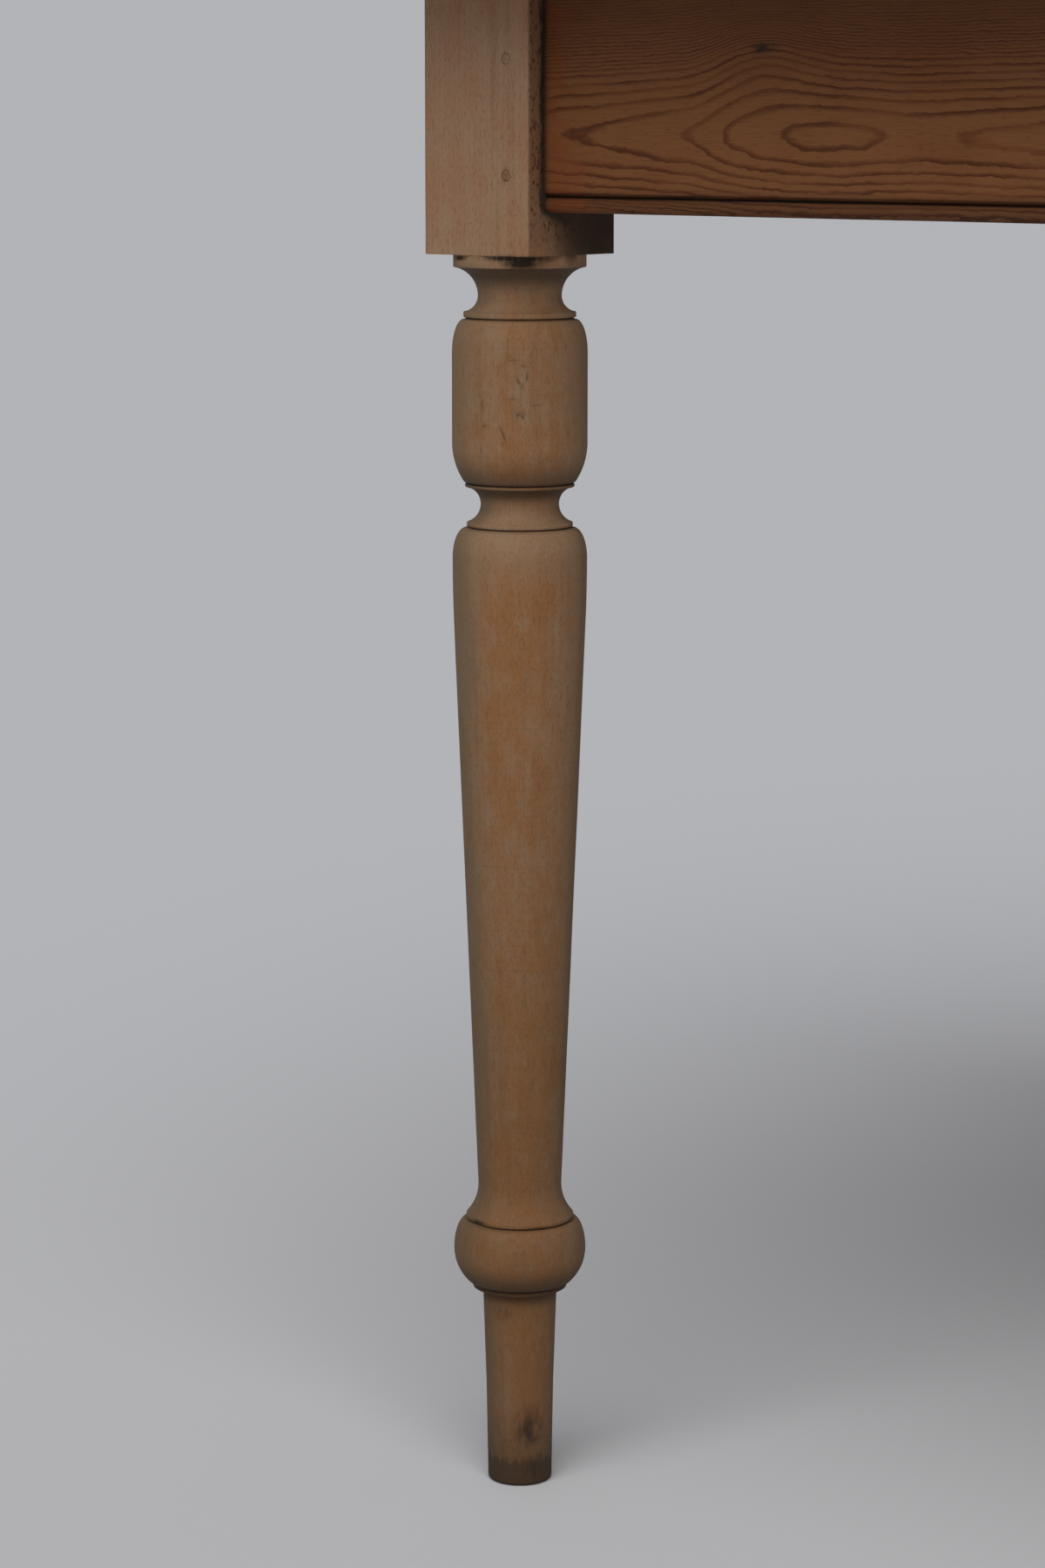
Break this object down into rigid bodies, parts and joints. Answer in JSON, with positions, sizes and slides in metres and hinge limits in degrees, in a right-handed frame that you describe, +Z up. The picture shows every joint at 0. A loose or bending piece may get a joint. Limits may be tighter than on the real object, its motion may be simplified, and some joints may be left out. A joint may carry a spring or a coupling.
{
  "type": "kitchen table with drawers",
  "caption": "Farmhouse kitchen table with a planked pine top, turned hardwood legs, beaded rails, and a dovetailed drawer on wooden runners in each end.",
  "frame": {"origin": "on the floor under the middle of the top", "axes": "+X along the table's length towards the right end, +Y across it towards the back, +Z up"},
  "size_m": [1.525, 0.84, 0.762],
  "materials": {
    "leg_hardwood": "bare stripped hardwood, matt, with darker patches and dirt in the grooves",
    "knob_hardwood": "turned hardwood, worn to a low sheen",
    "peg_hardwood": "end grain of small hardwood pegs",
    "iron": "dull iron",
    "top_pine": "scrubbed pine, matt, with knots and worn edges",
    "rail_pine": "stripped warm brown pine, matt, with red-brown growth lines",
    "drawer_pine": "plain unfinished pine",
    "inner_pine": "sawn unfinished pine"
  },
  "bodies": {
    "table": {"centre_bearer": "inner_pine", "drawer_stops_left": "inner_pine", "drawer_stops_right": "inner_pine", "end_bottom_rail_left": "rail_pine", "end_bottom_rail_right": "rail_pine", "end_rail_pegs": "peg_hardwood", "end_top_rail_left": "rail_pine", "end_top_rail_right": "rail_pine", "guide_back": "inner_pine", "guide_front": "inner_pine", "guide_nails": "iron", "kicker_back_left": "inner_pine", "kicker_back_right": "inner_pine", "kicker_front_left": "inner_pine", "kicker_front_right": "inner_pine", "leg_back_left": "leg_hardwood", "leg_back_right": "leg_hardwood", "leg_front_left": "leg_hardwood", "leg_front_right": "leg_hardwood", "runner_back": "inner_pine", "runner_front": "inner_pine", "runner_screws": "iron", "side_rail_back": "rail_pine", "side_rail_front": "rail_pine", "side_rail_pegs": "peg_hardwood", "top_board_1": "top_pine", "top_board_2": "top_pine", "top_board_3": "top_pine", "top_board_4": "top_pine", "top_screws": "iron"},
    "left_drawer": {"left_drawer_back": "drawer_pine", "left_drawer_bottom": "drawer_pine", "left_drawer_front": "rail_pine", "left_drawer_knob_back": "knob_hardwood", "left_drawer_knob_front": "knob_hardwood", "left_drawer_nails": "iron", "left_drawer_side_back": "drawer_pine", "left_drawer_side_front": "drawer_pine"},
    "right_drawer": {"right_drawer_back": "drawer_pine", "right_drawer_bottom": "drawer_pine", "right_drawer_front": "rail_pine", "right_drawer_knob_back": "knob_hardwood", "right_drawer_knob_front": "knob_hardwood", "right_drawer_nails": "iron", "right_drawer_side_back": "drawer_pine", "right_drawer_side_front": "drawer_pine"}
  },
  "joints": [
    {"name": "left_drawer_slide", "type": "slide", "parent": "table", "child": "left_drawer", "axis": [-1, 0, 0], "range_m": [0, 0.36]},
    {"name": "right_drawer_slide", "type": "slide", "parent": "table", "child": "right_drawer", "axis": [1, 0, 0], "range_m": [0, 0.36]}
  ]
}
